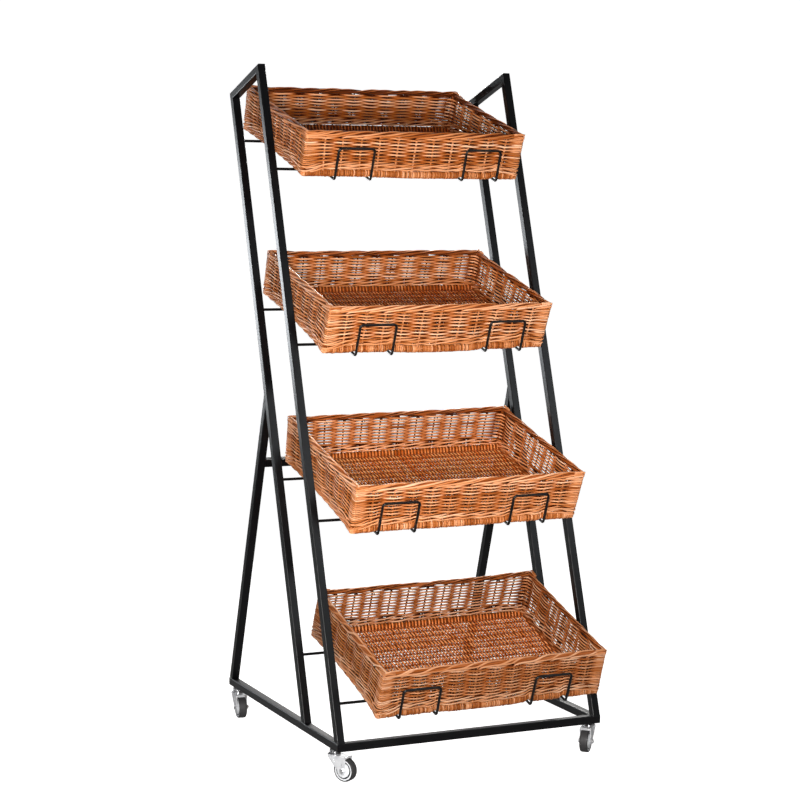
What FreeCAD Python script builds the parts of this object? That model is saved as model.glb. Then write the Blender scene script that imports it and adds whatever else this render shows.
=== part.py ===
"""Bakery bread rack: leaning square-tube ladder frame on four swivel casters,
four tipped shelves of two round rods each, wire stops and loose wicker baskets.

Axes: +X to the right seen from the front, +Y to the rear, +Z up.
Origin: on the floor, at the centre of the overall bounding box.
Unit: millimetre.
"""
import FreeCAD, Part
import math
import os

V = FreeCAD.Vector
os.makedirs("parts", exist_ok=True)

# ---------------------------------------------------------------- dimensions
TUBE = 20.0            # outer side of the square tube
TUBE_R = 2.2           # outer corner radius of the tube
TUBE_WALL = 1.5        # wall thickness of the tube
WIDTH = 714.6          # over the outer faces of the two side frames
DEPTH = 722.1          # length of the base rails
FRAME_TOP = 1627.3     # front corner of the top tubes above the rail undersides
LEAN = math.atan(0.3362)   # backward lean of the posts from the vertical
REAR_FOOT = 224.2      # rear face of the rear posts where they land on the rail
APEX = 799.7           # height where the brace leg meets the rear post
CROSS_Z = 623.6        # height of the cross rail's station on the brace leg
CASTER_H = 73.3        # floor to the underside of the base rails
ORIGIN_Y = 352.0       # base-frame front face to the centre of the bounding box

ROD_D = 7.0            # shelf rods
# shelf by shelf, top to bottom: rod centre heights above the rail undersides
ROD_REAR_Z = (1437.2, 1009.8, 593.1, 177.1)
ROD_FRONT_Z = (1365.2, 937.6, 522.8, 107.1)

WIRE_D = 6.2           # wire of the stops
WIRE_FOOT_BEND = 7.0   # centre-line bend radius at the foot of a stop
WIRE_BEND = 9.0        # centre-line bend radius at the top of a stop
STOP_W = 97.5          # width of a stop over wire centres
# per shelf, left stop then right stop: centre x, v at the foot bend, v at the
# top of the loop, height of the loop's wire centre above the rod centres
STOPS = (
    ((-163.5, 200.7, 205.0, 81.5), (193.1, 196.2, 197.6, 80.9)),
    ((-164.1, 198.3, 202.6, 81.4), (196.2, 192.2, 196.2, 82.0)),
    ((-168.0, 209.2, 214.0, 83.8), (189.4, 203.6, 206.9, 81.0)),
    ((-171.8, 211.0, 213.0, 77.5), (180.1, 210.7, 215.4, 80.2)),
)

REST_GAP = 0.3         # between the rods and the underside of a basket
# per basket: centre x, centre v, turn about the shelf normal (rad), rim width,
# rim depth, height, base width, base depth, forward offset of the rim, and how
# much higher the rim stands at the rear than at the front
BASKETS = (
    (0.0, -12.6, -0.021, 614.0, 411.0, 119.0, 612.0, 410.0, 1.0, -3.0),
    (6.3, -21.2, -0.011, 614.5, 424.0, 123.0, 616.0, 413.0, 7.7, -7.0),
    (17.6, -10.2, -0.021, 629.0, 436.5, 128.0, 623.0, 422.0, 0.5, -4.8),
    (22.0, -2.2, -0.018, 607.0, 401.5, 130.0, 612.0, 409.5, 6.0, 12.0),
)
BASKET_R = 9.5         # corner radius of the basket's outline
FOOT_R = 6.0           # rounding of the basket's lower edge
BASKET_WALL = 6.5      # wall and floor thickness
RIM_W = 14.0           # width of the rolled rim
RIM_H = 18.0           # height of the rolled rim

# casters
CASTER_INSET = 37.5    # stem axis from the end of the base rail
TRAIL = 31.5           # axle behind the swivel axis
WHEEL_R = 28.0
TYRE_W = 20.0
HUB_R = 24.5
AXLE_D = 6.0
RUN_CLEAR = 0.05       # radial running clearance of the axle and the king pin
# swivel angle of each fork: the wheel trails along (-sin a, -cos a)
CASTERS = {
    "front_left": (-1, 0, math.radians(-30.0)),
    "front_right": (1, 0, math.radians(44.0)),
    "rear_left": (-1, 1, math.radians(6.0)),
    "rear_right": (1, 1, math.radians(18.0)),
}

# ---------------------------------------------------------------- helpers
ct, st = math.cos(LEAN), math.sin(LEAN)
H2 = WIDTH / 2.0
U = V(0, st, ct)            # up along the posts
NF = V(0, -ct, st)          # out of the posts' front faces
BASE = V(0, -ORIGIN_Y, CASTER_H)   # moves base-frame coordinates to the row frame


def yz(y, z, x=0.0):
    return V(x, y, z)


def save(name, shape):
    shape = shape.copy()
    shape.translate(BASE)
    if not shape.isValid():
        raise RuntimeError("invalid " + name)
    shape.exportStep("parts/%s.step" % name)
    bb = shape.BoundBox
    ALL.append(bb)
    print("%-28s vol %11.1f solids %d" % (name, shape.Volume, len(shape.Solids)))


ALL = []


def rounded_square(side, r, origin, ex, ey):
    """closed wire of a rounded square centred on origin in the plane (ex, ey)"""
    h = side / 2.0
    q = h - r
    k = r * (1 - math.sqrt(0.5))

    def P(a, b):
        return origin + ex * a + ey * b
    e = []
    e.append(Part.LineSegment(P(-q, -h), P(q, -h)).toShape())
    e.append(Part.Arc(P(q, -h), P(h - k, -h + k), P(h, -q)).toShape())
    e.append(Part.LineSegment(P(h, -q), P(h, q)).toShape())
    e.append(Part.Arc(P(h, q), P(h - k, h - k), P(q, h)).toShape())
    e.append(Part.LineSegment(P(q, h), P(-q, h)).toShape())
    e.append(Part.Arc(P(-q, h), P(-h + k, h - k), P(-h, q)).toShape())
    e.append(Part.LineSegment(P(-h, q), P(-h, -q)).toShape())
    e.append(Part.Arc(P(-h, -q), P(-h + k, -h + k), P(-q, -h)).toShape())
    return Part.Wire(e)


def tube(a, b, side_dir, extra=40.0):
    """square tube with its centre line from a to b, longer by extra at both ends"""
    d = (b - a).normalize()
    ex = side_dir
    ey = d.cross(ex)
    p = a - d * extra
    length = (b - a).Length + 2 * extra
    outer = Part.Face(rounded_square(TUBE, TUBE_R, p, ex, ey)).extrude(d * length)
    inner = Part.Face(rounded_square(TUBE - 2 * TUBE_WALL, TUBE_R - TUBE_WALL, p, ex, ey)).extrude(d * length)
    return outer.cut(inner)


def half_space(point, normal, size=4000.0):
    """box that fills the side the normal points to"""
    n = V(normal).normalize()
    box = Part.makeBox(size, size, size, V(-size / 2, -size / 2, 0))
    rot = FreeCAD.Rotation(V(0, 0, 1), n)
    box.Placement = FreeCAD.Placement(point, rot)
    return box


def trim(shape, point, normal):
    """cuts away what lies on the normal's side of the plane"""
    out = shape.cut(half_space(point, normal))
    return out


def cyl(r, a, b):
    d = b - a
    return Part.makeCylinder(r, d.Length, a, d)


def hexagon(af, h, a, d, phase=0.0):
    """hexagonal prism, across flats af, from a along d"""
    d = V(d).normalize()
    ref = V(0, 0, 1) if abs(d.z) < 0.9 else V(1, 0, 0)
    ex = ref.cross(d).normalize()
    ey = d.cross(ex)
    r = af / math.sqrt(3.0)
    pts = []
    for i in range(7):
        t = phase + math.radians(60 * i)
        pts.append(a + ex * (r * math.cos(t)) + ey * (r * math.sin(t)))
    return Part.Face(Part.makePolygon(pts)).extrude(d * h)


# ---------------------------------------------------------------- side frames
# front face line of the front post passes (0, TUBE); rear face line of the
# rear post passes (REAR_FOOT, TUBE)
front_foot = yz(0, TUBE)
top_corner = front_foot + U * ((FRAME_TOP - TUBE) / ct)
front_axis_foot = front_foot - NF * (TUBE / 2)
rear_axis_foot = yz(REAR_FOOT, TUBE) + NF * (TUBE / 2)
rear_len = (top_corner - rear_axis_foot).dot(U)
rear_axis_top = rear_axis_foot + U * rear_len
rear_corner = rear_axis_top - NF * (TUBE / 2)
post_axis_top = top_corner - NF * (TUBE / 2)

# brace leg: rear face from the rear end of the rail to the apex
brace_a = yz(DEPTH, TUBE)
brace_b = yz(REAR_FOOT + math.tan(LEAN) * (APEX - TUBE), APEX)
UB = (brace_b - brace_a).normalize()
NB = V(0, -UB.z, UB.y)      # out of the brace's front face

# cross rail centre
k = (CROSS_Z - TUBE) / (APEX - TUBE)
cross_c = brace_a + (brace_b - brace_a) * k + NB * (TUBE / 2)

stem_y = (CASTER_INSET, DEPTH - CASTER_INSET)
X = V(1, 0, 0)

for side, sx in (("left", -1), ("right", 1)):
    xc = sx * (H2 - TUBE / 2)
    o = V(xc, 0, 0)
    # front post: lands on the base frame's front corner, mitred at the top
    m_front = (U * 1.0 + NF * 1.0)             # outward direction of the corner
    post = tube(o + front_axis_foot, o + post_axis_top, X)
    post = trim(post, o + yz(0, TUBE), V(0, 0, -1))
    miter_n = (U + NF).normalize()
    # the mitre plane holds the outer corner and the inner corner
    inner = top_corner - NF * TUBE - U * TUBE
    diag = (top_corner - inner).normalize()
    n_post = V(0, diag.z, -diag.y)             # square to the diagonal
    if n_post.dot(U) < 0:
        n_post = n_post * -1.0
    post = trim(post, o + top_corner, n_post)
    save(side + "_front_post", post)

    top = tube(o + top_corner - U * (TUBE / 2), o + rear_corner - U * (TUBE / 2), X)
    top = trim(top, o + top_corner, n_post * -1.0)
    inner_r = rear_corner + NF * TUBE - U * TUBE
    diag_r = (rear_corner - inner_r).normalize()
    n_rear = V(0, diag_r.z, -diag_r.y)
    if n_rear.dot(U) < 0:
        n_rear = n_rear * -1.0
    top = trim(top, o + rear_corner, n_rear * -1.0)
    save(side + "_top_tube", top)

    rear = tube(o + rear_axis_foot, o + rear_axis_top, X)
    rear = trim(rear, o + yz(0, TUBE), V(0, 0, -1))
    rear = trim(rear, o + rear_corner, n_rear)
    save(side + "_rear_post", rear)

    brace = tube(o + brace_a + NB * (TUBE / 2), o + brace_b + NB * (TUBE / 2), X)
    brace = trim(brace, o + yz(0, TUBE), V(0, 0, -1))
    brace = trim(brace, o + yz(REAR_FOOT, TUBE), NF)
    save(side + "_brace_leg", brace)

    rail = tube(V(xc, 0, TUBE / 2), V(xc, DEPTH, TUBE / 2), X)
    rail = trim(rail, V(xc, DEPTH, TUBE / 2), V(0, 1, 0))
    rail = trim(rail, V(sx * H2, 0, 0), V(sx * -1.0, -1, 0))
    for ys in stem_y:
        rail = rail.cut(cyl(5.2, V(xc, ys, -1), V(xc, ys, 3)))
    save(side + "_base_rail", rail)

front_rail = tube(V(-H2, TUBE / 2, TUBE / 2), V(H2, TUBE / 2, TUBE / 2), V(0, 1, 0))
front_rail = trim(front_rail, V(-H2, 0, 0), V(-1, 1, 0))
front_rail = trim(front_rail, V(H2, 0, 0), V(1, 1, 0))
save("front_base_rail", front_rail)

xr = H2 - TUBE
cross = tube(cross_c + V(-xr, 0, 0), cross_c + V(xr, 0, 0), NB, extra=0.0)
save("rear_cross_rail", cross)

# plugs in the open rear ends of the base rails
plugs = []
for sx in (-1, 1):
    xc = sx * (H2 - TUBE / 2)
    cap = Part.Face(rounded_square(TUBE, TUBE_R, V(xc, DEPTH, TUBE / 2), X, V(0, 0, 1))).extrude(V(0, 2.0, 0))
    inside = Part.Face(rounded_square(TUBE - 2 * TUBE_WALL, TUBE_R - TUBE_WALL, V(xc, DEPTH, TUBE / 2), X, V(0, 0, 1))).extrude(V(0, -12.0, 0))
    core = Part.Face(rounded_square(TUBE - 2 * TUBE_WALL - 4, 0.5, V(xc, DEPTH, TUBE / 2), X, V(0, 0, 1))).extrude(V(0, -13.0, 0))
    plugs.append(cap.fuse(inside.cut(core)).removeSplitter())
save("rail_end_plugs", Part.makeCompound(plugs))

# ---------------------------------------------------------------- shelves
rod_r = ROD_D / 2.0


def shelf_frame(i):
    """rear rod, front rod, slope direction to the front, normal, mid point"""
    zr, zf = ROD_REAR_Z[i], ROD_FRONT_Z[i]
    yr = REAR_FOOT + math.tan(LEAN) * (zr - TUBE) - TUBE / 2 / ct
    yf = math.tan(LEAN) * (zf - TUBE) + TUBE / 2 / ct
    a, b = yz(yr, zr), yz(yf, zf)
    d = (b - a).normalize()
    n = V(0, d.z, -d.y)
    if n.z < 0:
        n = n * -1.0
    return a, b, d, n, (a + b) * 0.5


def fillet_path(pts, radii):
    """polyline through pts with tangent arcs at the inner points"""
    edges = []
    cur = pts[0]
    for j in range(1, len(pts) - 1):
        p = pts[j]
        d0 = (pts[j - 1] - p).normalize()
        d1 = (pts[j + 1] - p).normalize()
        half = d0.getAngle(d1) / 2.0
        r = radii[j - 1]
        t = r / math.tan(half)
        a, b = p + d0 * t, p + d1 * t
        bis = (d0 + d1).normalize()
        c = p + bis * (r / math.sin(half))
        m = c - bis * r
        edges.append(Part.LineSegment(cur, a).toShape())
        edges.append(Part.Arc(a, m, b).toShape())
        cur = b
    edges.append(Part.LineSegment(cur, pts[-1]).toShape())
    return Part.Wire(edges)


def bent_wire(pts, radii, d):
    path = fillet_path(pts, radii)
    t = (pts[1] - pts[0]).normalize()
    prof = Part.Wire([Part.makeCircle(d / 2.0, pts[0], t)])
    sh = path.makePipeShell([prof], True, True)
    if sh.ShapeType != "Solid":
        sh = Part.Solid(sh)
    return sh


def basket_wire(w, d, r, c, ex, ev):
    w2, d2 = w / 2.0, d / 2.0
    kk = r * (1 - math.sqrt(0.5))

    def P(a, b):
        return c + ex * a + ev * b
    e = [
        Part.LineSegment(P(-w2 + r, -d2), P(w2 - r, -d2)).toShape(),
        Part.Arc(P(w2 - r, -d2), P(w2 - kk, -d2 + kk), P(w2, -d2 + r)).toShape(),
        Part.LineSegment(P(w2, -d2 + r), P(w2, d2 - r)).toShape(),
        Part.Arc(P(w2, d2 - r), P(w2 - kk, d2 - kk), P(w2 - r, d2)).toShape(),
        Part.LineSegment(P(w2 - r, d2), P(-w2 + r, d2)).toShape(),
        Part.Arc(P(-w2 + r, d2), P(-w2 + kk, d2 - kk), P(-w2, d2 - r)).toShape(),
        Part.LineSegment(P(-w2, d2 - r), P(-w2, -d2 + r)).toShape(),
        Part.Arc(P(-w2, -d2 + r), P(-w2 + kk, -d2 + kk), P(-w2 + r, -d2)).toShape(),
    ]
    return Part.Wire(e)


for i in range(4):
    a, b, d, n, mid = shelf_frame(i)
    name = "shelf%d" % (i + 1)
    save(name + "_rear_rod", cyl(rod_r, a + V(-xr, 0, 0), a + V(xr, 0, 0)))
    save(name + "_front_rod", cyl(rod_r, b + V(-xr, 0, 0), b + V(xr, 0, 0)))
    half = (b - a).Length / 2.0
    rod_cut = cyl(rod_r, b + V(-xr, 0, 0), b + V(xr, 0, 0))
    for sname, (xc, vb, vt, nt) in (("left", STOPS[i][0]), ("right", STOPS[i][1])):
        x1, x2 = xc - STOP_W / 2, xc + STOP_W / 2
        pts = [
            mid + V(x1, 0, 0) + d * half,
            mid + V(x1, 0, 0) + d * vb,
            mid + V(x1, 0, 0) + d * vt + n * nt,
            mid + V(x2, 0, 0) + d * vt + n * nt,
            mid + V(x2, 0, 0) + d * vb,
            mid + V(x2, 0, 0) + d * half,
        ]
        w = bent_wire(pts, (WIRE_FOOT_BEND, WIRE_BEND, WIRE_BEND, WIRE_FOOT_BEND), WIRE_D)
        # coped against the front rod
        w = w.cut(rod_cut)
        best = max(w.Solids, key=lambda s: s.Volume)
        save("%s_stop_%s" % (name, sname), best)

    # basket: tray with an open top, thin wall and a thicker rolled rim
    bx, bv, yaw, wr, dr, h, wb, db, vo, rise = BASKETS[i]
    ex = X * math.cos(yaw) + d * math.sin(yaw)
    ev = d * math.cos(yaw) - X * math.sin(yaw)
    c0 = mid + V(bx, 0, 0) + d * bv + n * (rod_r + REST_GAP)

    def level(t, inset):
        w = wb + (wr - wb) * t - 2 * inset
        dd = db + (dr - db) * t - 2 * inset
        et = ev - n * (rise / dr * t)
        return basket_wire(w, dd, max(BASKET_R - inset, 3.0), c0 + ev * (vo * t) + n * (h * t), ex, et)

    outer = Part.makeLoft([level(0.0, 0), level(1.0, 0)], True, True)
    low = [e for e in outer.Edges if all(abs((v.Point - c0).dot(n)) < 0.01 for v in e.Vertexes)]
    outer = outer.makeFillet(FOOT_R, low)
    tr = 1.0 - RIM_H / h
    tf = BASKET_WALL / h
    inner_low = Part.makeLoft([level(tf, BASKET_WALL), level(tr, BASKET_WALL)], True, True)
    inner_rim = Part.makeLoft([level(tr, RIM_W), level(1.0 + 2.0 / h, RIM_W)], True, True)
    bask = outer.cut(inner_low).cut(inner_rim)
    if len(bask.Solids) != 1:
        raise RuntimeError("basket solids")
    save("basket_%d" % (i + 1), bask.Solids[0])
    tilt = math.degrees(math.atan2(-d.z, -d.y))
    o = mid + BASE
    print("SHELF", i + 1, "mid", [round(q, 3) for q in o], "d", [round(q, 6) for q in d], "n", [round(q, 6) for q in n], "tilt %.2f" % tilt)

# ---------------------------------------------------------------- casters
axle_z = -CASTER_H + WHEEL_R
nuts = []
for cname, (sx, rear, ang) in CASTERS.items():
    xs = sx * (H2 - TUBE / 2)
    ys = stem_y[rear]
    o = V(xs, ys, 0)
    T = V(-math.sin(ang), -math.cos(ang), 0)     # towards the wheel
    A = V(math.cos(ang), -math.sin(ang), 0)      # along the axle
    Z = V(0, 0, 1)

    # stem, spacer, upper race and king pin with its rivet head
    stem = cyl(5.0, o + Z * -3, o + Z * 16)
    spool = [(0.0, 0.0), (12.0, 0.0), (12.6, -0.6), (12.6, -2.6), (8.6, -4.6), (8.6, -6.4), (14.6, -9.2), (14.6, -11.7), (0.0, -11.7)]
    spool = Part.Face(Part.makePolygon([o + X * r + Z * z for r, z in spool + spool[:1]])).revolve(o, Z, 360)
    stem = stem.fuse(spool)
    stem = stem.fuse(cyl(4.0, o + Z * -16, o + Z * -11))
    stem = stem.fuse(cyl(7.0, o + Z * -16.8, o + Z * -14.6))
    save("caster_%s_stem" % cname, stem.removeSplitter())
    nut = hexagon(15.4, 8.0, o + Z * TUBE_WALL, Z).cut(cyl(5.0, o, o + Z * 12))
    nuts.append(nut)

    # stamped fork: hood plate over the wheel and two cheeks down to the axle
    def Q(t, z, a=0.0):
        return o + T * t + Z * z + A * a
    out_a, in_a = 14.5, 12.5
    z_top, z_bot = -12.0, -14.2
    hood = Part.Face(Part.Wire([
        Part.LineSegment(Q(0, z_top, -out_a), Q(37.5, z_top, -out_a)).toShape(),
        Part.LineSegment(Q(37.5, z_top, -out_a), Q(37.5, z_top, out_a)).toShape(),
        Part.LineSegment(Q(37.5, z_top, out_a), Q(0, z_top, out_a)).toShape(),
        Part.Arc(Q(0, z_top, out_a), Q(-17.5, z_top, 0), Q(0, z_top, -out_a)).toShape(),
    ])).extrude(Z * (z_bot - z_top))
    disc = cyl(17.5, o + Z * z_bot, o + Z * z_top)
    # the hood's free end turns down over the wheel
    lip = [(36.5, z_top), (38.6, z_top - 0.5), (41.2, z_top - 4.2), (39.6, z_top - 5.3), (37.6, z_top - 2.4), (36.5, z_top - 2.2)]
    lip = Part.Face(Part.makePolygon([Q(t, z, -out_a) for t, z in lip + lip[:1]])).extrude(A * (2 * out_a))
    fork = hood.fuse(disc).fuse(lip)
    for s in (-1, 1):
        a0 = s * in_a
        r = 9.0
        e = []
        # outline: top edge, front edge, boss around the axle, sloping back edge
        pa = Q(TRAIL + r, axle_z, a0)
        pm = Q(TRAIL, axle_z - r, a0)
        pb = Q(TRAIL - r * 0.94, axle_z - r * 0.34, a0)
        pts = [Q(-9, z_top, a0), Q(37.5, z_top, a0), Q(39.8, z_top - 3.5, a0), Q(39.8, axle_z + 8, a0), pa]
        for j in range(len(pts) - 1):
            e.append(Part.LineSegment(pts[j], pts[j + 1]).toShape())
        e.append(Part.Arc(pa, pm, pb).toShape())
        pc = Q(7.0, axle_z + 9.0, a0)
        pd = Q(-10.5, z_top - 5.0, a0)
        e.append(Part.LineSegment(pb, pc).toShape())
        e.append(Part.LineSegment(pc, pd).toShape())
        e.append(Part.LineSegment(pd, pts[0]).toShape())
        cheek = Part.Face(Part.Wire(e)).extrude(A * (s * (out_a - in_a)))
        cheek = cheek.cut(cyl(AXLE_D / 2 + 0.1, Q(TRAIL, axle_z, -20), Q(TRAIL, axle_z, 20)))
        # small triangular lightening hole near the front edge
        tri = [Q(30.5, -28.5, a0 - 3), Q(34.5, -31.5, a0 - 3), Q(30.5, -34.0, a0 - 3), Q(30.5, -28.5, a0 - 3)]
        cheek = cheek.cut(Part.Face(Part.makePolygon(tri)).extrude(A * 6))
        fork = fork.fuse(cheek)
    fork = fork.cut(cyl(4.0 + RUN_CLEAR, o + Z * -20, o))
    fork = fork.removeSplitter()
    save("caster_%s_fork" % cname, fork.Solids[0])

    ax0 = Q(TRAIL, axle_z)
    bolt = cyl(AXLE_D / 2, ax0 + A * -14.6, ax0 + A * 20.5)
    bolt = bolt.fuse(hexagon(10.0, 3.6, ax0 + A * -14.5, A * -1.0))
    save("caster_%s_axle_bolt" % cname, bolt.removeSplitter())
    nut2 = hexagon(10.0, 4.8, ax0 + A * 14.5, A).cut(cyl(AXLE_D / 2, ax0, ax0 + A * 30))
    save("caster_%s_axle_nut" % cname, nut2)

    # wheel core, turned section about the axle: rim, groove, web and boss
    def ring(profile):
        w = [ax0 + A * a + Z * r for a, r in profile]
        w.append(w[0])
        f = Part.Face(Part.makePolygon(w))
        s = f.revolve(ax0, A, 360)
        return s
    rb = AXLE_D / 2 + RUN_CLEAR
    core = ring([(-11.8, rb), (-11.8, 8.0), (-10.0, 17.6), (-5.0, 18.0), (-5.0, 20.6), (-9.0, 21.0), (-9.0, HUB_R),
                 (9.0, HUB_R), (9.0, 21.0), (5.0, 20.6), (5.0, 18.0), (10.0, 17.6), (11.8, 8.0), (11.8, rb)])
    save("caster_%s_wheel_core" % cname, core)
    tyre = ring([(-9.0, HUB_R), (-10.0, HUB_R + 0.4), (-10.0, 26.2), (-9.0, 27.3), (-7.0, 27.9), (-5.0, WHEEL_R),
                 (5.0, WHEEL_R), (7.0, 27.9), (9.0, 27.3), (10.0, 26.2), (10.0, HUB_R + 0.4), (9.0, HUB_R)])
    save("caster_%s_tyre" % cname, tyre)
    P = ax0 + BASE
    S = o + BASE
    print("CASTER", cname, "swivel", [round(q, 4) for q in S], "axle", [round(q, 4) for q in P], "A", [round(q, 6) for q in A])

save("caster_weld_nuts", Part.makeCompound(nuts))

box = FreeCAD.BoundBox()
for bb in ALL:
    box.add(bb)
print("BOX", [round(q, 2) for q in (box.XMin, box.XMax, box.YMin, box.YMax, box.ZMin, box.ZMax)],
      "centre y", round((box.YMin + box.YMax) / 2, 3))
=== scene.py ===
import math

import bpy
import numpy as np
from mathutils import Matrix, Vector


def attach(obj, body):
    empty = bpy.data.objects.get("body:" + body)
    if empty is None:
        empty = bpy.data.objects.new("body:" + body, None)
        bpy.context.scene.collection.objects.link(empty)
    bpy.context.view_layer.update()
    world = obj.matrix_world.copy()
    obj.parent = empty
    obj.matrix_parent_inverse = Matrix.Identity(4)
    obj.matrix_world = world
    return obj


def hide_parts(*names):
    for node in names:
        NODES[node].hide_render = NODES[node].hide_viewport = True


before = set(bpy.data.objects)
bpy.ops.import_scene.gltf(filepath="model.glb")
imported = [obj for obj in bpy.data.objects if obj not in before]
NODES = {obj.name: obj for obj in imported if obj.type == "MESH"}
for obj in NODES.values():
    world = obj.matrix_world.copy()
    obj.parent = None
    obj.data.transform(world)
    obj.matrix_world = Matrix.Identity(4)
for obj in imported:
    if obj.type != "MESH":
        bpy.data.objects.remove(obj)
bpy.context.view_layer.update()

MM = 0.001

# ------------------------------------------------------------------ dimensions (mm), as in the CAD source
TUBE = 20.0
WIDTH = 714.6
DEPTH = 722.1
TAN = 0.3362
LEAN = math.atan(TAN)
REAR_FOOT = 224.2
CASTER_H = 73.3
ORIGIN_Y = 352.0
ROD_D = 7.0
REST_GAP = 0.3
ROD_REAR_Z = (1437.2, 1009.8, 593.1, 177.1)
ROD_FRONT_Z = (1365.2, 937.6, 522.8, 107.1)
BASKETS = (
    (0.0, -12.6, -0.021, 614.0, 411.0, 119.0, 612.0, 410.0, 1.0, -3.0),
    (6.3, -21.2, -0.011, 614.5, 424.0, 123.0, 616.0, 413.0, 7.7, -7.0),
    (17.6, -10.2, -0.021, 629.0, 436.5, 128.0, 623.0, 422.0, 0.5, -4.8),
    (22.0, -2.2, -0.018, 607.0, 401.5, 130.0, 612.0, 409.5, 6.0, 12.0),
)
H2 = WIDTH / 2
CT, ST = math.cos(LEAN), math.sin(LEAN)


# ------------------------------------------------------------------ camera and light
def look(yaw, pitch, roll):
    fwd = Vector((math.sin(yaw) * math.cos(pitch), math.cos(yaw) * math.cos(pitch), -math.sin(pitch)))
    right = Vector((math.cos(yaw), -math.sin(yaw), 0))
    up = right.cross(fwd)
    r2 = right * math.cos(roll) + up * math.sin(roll)
    u2 = up * math.cos(roll) - right * math.sin(roll)
    m = Matrix((r2, u2, -fwd)).transposed().to_4x4()
    return m


cam_data = bpy.data.cameras.new("camera")
cam = bpy.data.objects.new("camera", cam_data)
bpy.context.scene.collection.objects.link(cam)
cam_data.sensor_width = 36.0
cam_data.lens = 2074.22 * 36.0 / 800.0
cam_data.clip_end = 50.0
cam_mat = look(0.4404864, 0.1038216, 0.0130211)
cam_mat.translation = Vector((-2.26424, -4.36547 - ORIGIN_Y * MM, 1.33217 + CASTER_H * MM))
cam.matrix_world = cam_mat
bpy.context.scene.camera = cam

bpy.context.scene.view_settings.view_transform = "Standard"
bpy.context.scene.view_settings.look = "None"

WORLD_DIM = 0.03
world = bpy.data.worlds.new("studio")
bpy.context.scene.world = world
world.use_nodes = True
wt = world.node_tree
bg = wt.nodes["Background"]
# a dim studio with one wide white backdrop behind the rack
wtc = wt.nodes.new("ShaderNodeTexCoord")
dot = wt.nodes.new("ShaderNodeVectorMath")
dot.operation = "DOT_PRODUCT"
dot.inputs[1].default_value = (math.sin(0.44), math.cos(0.44), 0.0)
wt.links.new(wtc.outputs["Generated"], dot.inputs[0])
wr = wt.nodes.new("ShaderNodeValToRGB")
wr.color_ramp.elements[0].position = 0.83
wr.color_ramp.elements[0].color = (WORLD_DIM, WORLD_DIM, WORLD_DIM, 1)
wr.color_ramp.elements[1].position = 0.95
wr.color_ramp.elements[1].color = (0.9, 0.9, 0.9, 1)
wt.links.new(dot.outputs["Value"], wr.inputs["Fac"])
wt.links.new(wr.outputs["Color"], bg.inputs["Color"])
bg.inputs["Strength"].default_value = 1.0


def area(name, loc, target, size, power, colour=(1, 1, 1)):
    data = bpy.data.lights.new(name, "AREA")
    data.shape = "RECTANGLE"
    data.size, data.size_y = size
    data.energy = power
    data.color = colour
    o = bpy.data.objects.new(name, data)
    bpy.context.scene.collection.objects.link(o)
    o.location = loc
    o.rotation_mode = "QUATERNION"
    o.rotation_quaternion = (Vector(target) - Vector(loc)).to_track_quat("-Z", "Y")
    o.visible_camera = False
    return o


area("key", (-1.30, -2.75, 1.15), (0, 0, 0.80), (0.8, 0.8), 138.0, (1.0, 0.985, 0.965))
area("fill_left", (-3.4, -0.8, 1.5), (0, 0, 0.85), (1.2, 1.2), 28.0)
area("rear_top", (0.3, 1.6, 3.2), (0, 0, 0.85), (1.6, 1.6), 16.0)
# three softboxes that only show as a sheen, on the coated tubes and along the crowns of the rods
for sheen in (area("sheen_front", (2.15, -3.9, 2.85), (0, 0, 1.0), (1.3, 0.8), 34.0, (0.92, 0.96, 1.0)),
              area("sheen_left", (-2.1, 3.6, 1.05), (0, 0, 1.0), (1.2, 0.9), 58.0, (0.92, 0.96, 1.0)),
              area("rim_light", (1.35, 2.45, 1.95), (0, 0, 0.55), (0.55, 0.55), 60.0, (1.0, 0.98, 0.95))):
    sheen.visible_diffuse = False


# ------------------------------------------------------------------ materials
def material(name):
    m = bpy.data.materials.new(name)
    m.use_nodes = True
    nt = m.node_tree
    p = nt.nodes["Principled BSDF"]
    return m, nt, p


def node(nt, kind, **props):
    n = nt.nodes.new(kind)
    for k, v in props.items():
        if k.startswith("in_"):
            n.inputs[k[3:].replace("_", " ")].default_value = v
        else:
            setattr(n, k, v)
    return n


def ramp(nt, stops, fac):
    r = nt.nodes.new("ShaderNodeValToRGB")
    els = r.color_ramp.elements
    while len(els) < len(stops):
        els.new(0.5)
    for e, (pos, col) in zip(els, stops):
        e.position = pos
        e.color = (*col, 1.0) if len(col) == 3 else col
    nt.links.new(fac, r.inputs["Fac"])
    return r


def powder(name, dark, light, rough, level=0.35, peel=0.05):
    m, nt, p = material(name)
    tc = node(nt, "ShaderNodeTexCoord")
    big = node(nt, "ShaderNodeTexNoise", in_Scale=9.0, in_Detail=3.0)
    fine = node(nt, "ShaderNodeTexNoise", in_Scale=900.0, in_Detail=2.0)
    for n in (big, fine):
        nt.links.new(tc.outputs["Object"], n.inputs["Vector"])
    col = ramp(nt, [(0.35, dark), (0.7, light)], big.outputs["Fac"])
    nt.links.new(col.outputs["Color"], p.inputs["Base Color"])
    rr = ramp(nt, [(0.3, (rough - 0.04,) * 3), (0.7, (rough + 0.05,) * 3)], fine.outputs["Fac"])
    nt.links.new(rr.outputs["Color"], p.inputs["Roughness"])
    p.inputs["Specular IOR Level"].default_value = level
    bump = node(nt, "ShaderNodeBump", in_Strength=peel, in_Distance=0.0004)
    nt.links.new(fine.outputs["Fac"], bump.inputs["Height"])
    nt.links.new(bump.outputs["Normal"], p.inputs["Normal"])
    return m


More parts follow.
